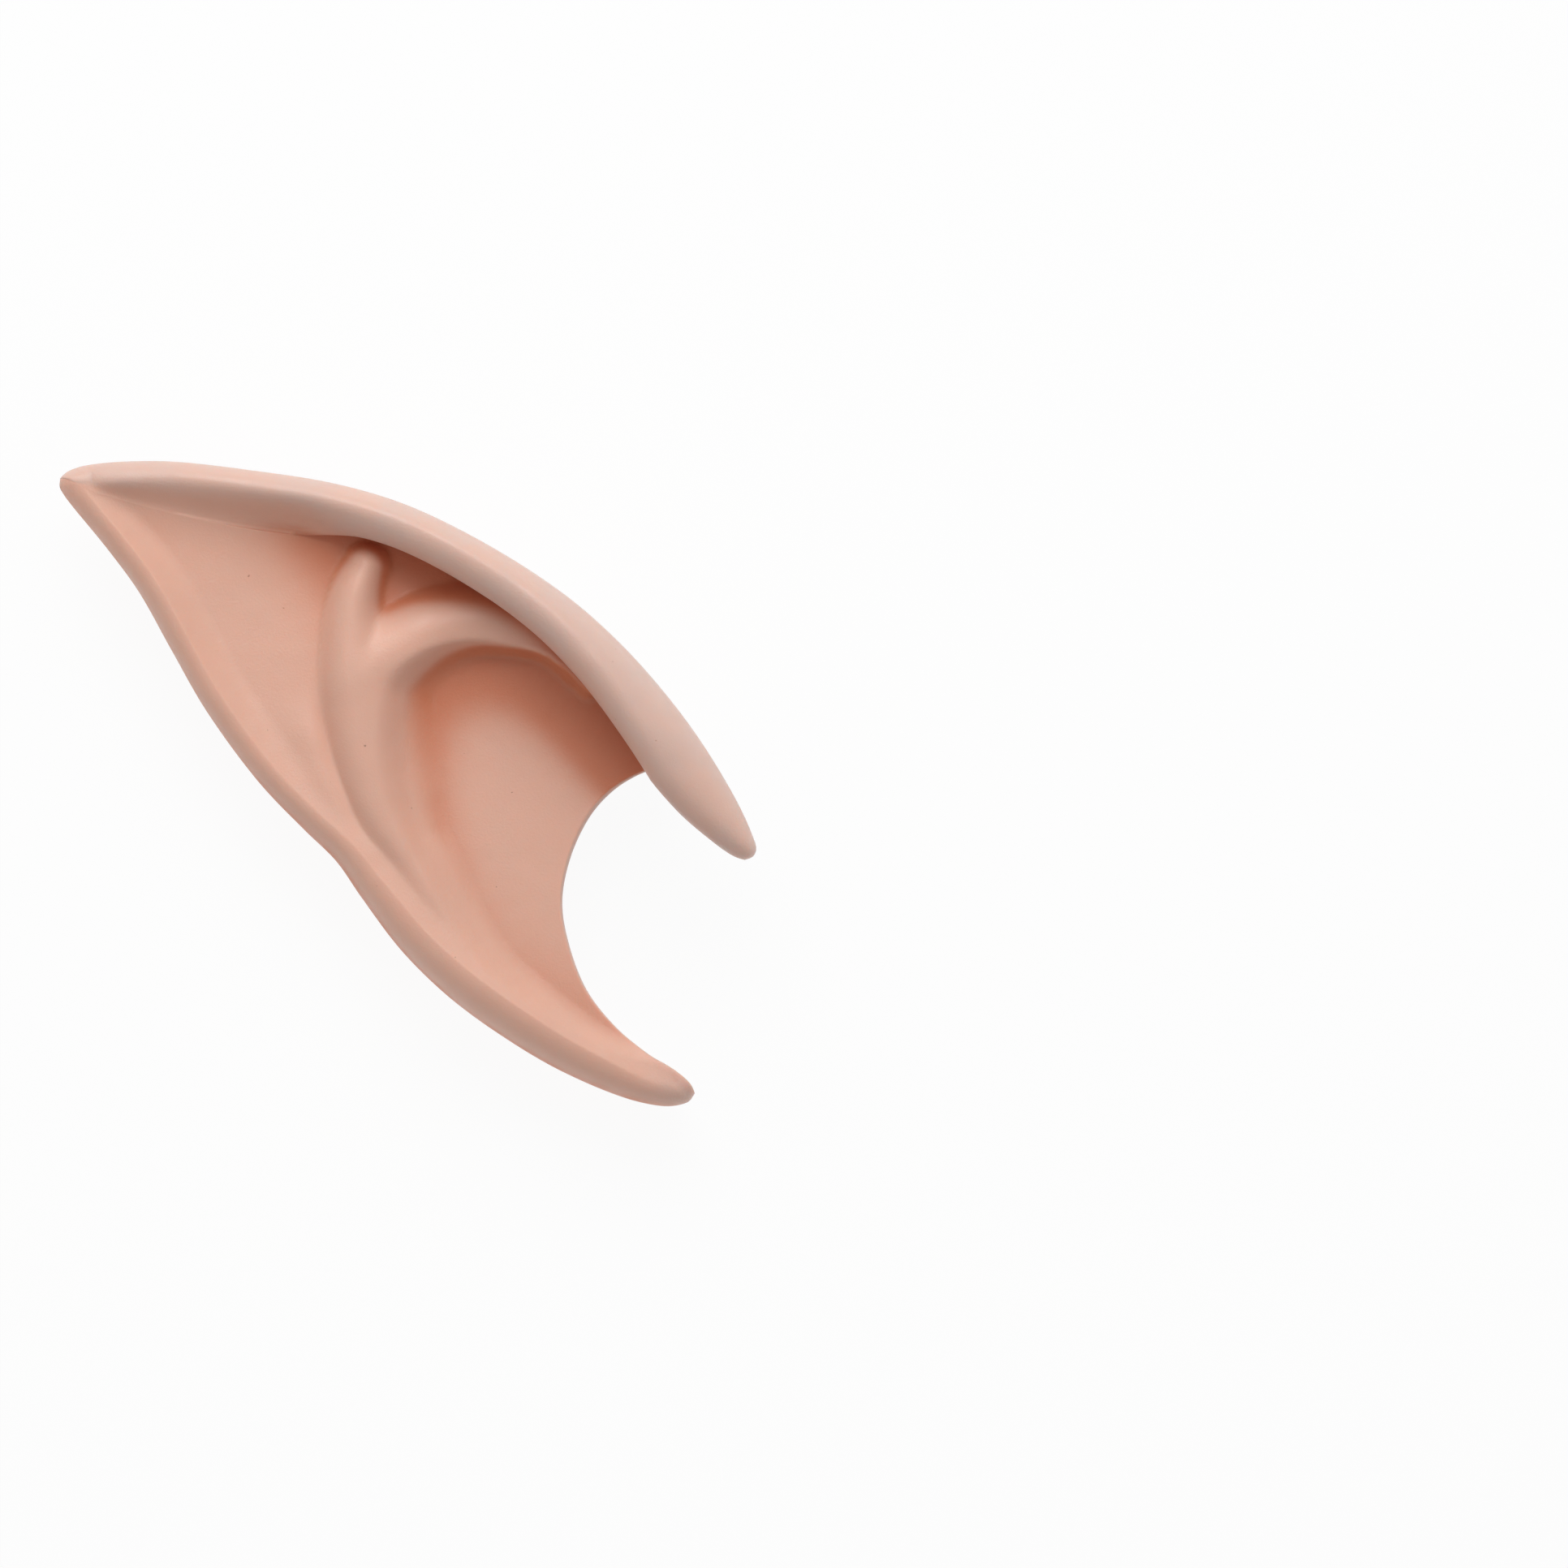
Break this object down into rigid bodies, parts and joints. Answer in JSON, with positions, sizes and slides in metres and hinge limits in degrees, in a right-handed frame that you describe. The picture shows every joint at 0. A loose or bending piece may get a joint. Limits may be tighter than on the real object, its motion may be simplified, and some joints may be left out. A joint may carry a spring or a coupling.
{
  "type": "elf ear",
  "caption": "Slip-on pointed ear of soft moulded latex: a hollow skin with a rolled rim, antihelix folds and concha bowl, and a pocket that pulls over the top of a real ear.",
  "frame": {"origin": "bottom centre of the ear's box; the ear lies on its back with its hollow facing up", "axes": "+X forward to the wearer's face, +Y up as worn, +Z straight out from the side of the head; the pointed tip is at -X, +Y and the long axis runs 44 degrees below +X"},
  "size_m": [0.0952, 0.0882, 0.0261],
  "materials": {
    "latex_skin": "satin"
  },
  "bodies": {
    "root": {"ear_shell": "latex_skin"}
  },
  "joints": []
}
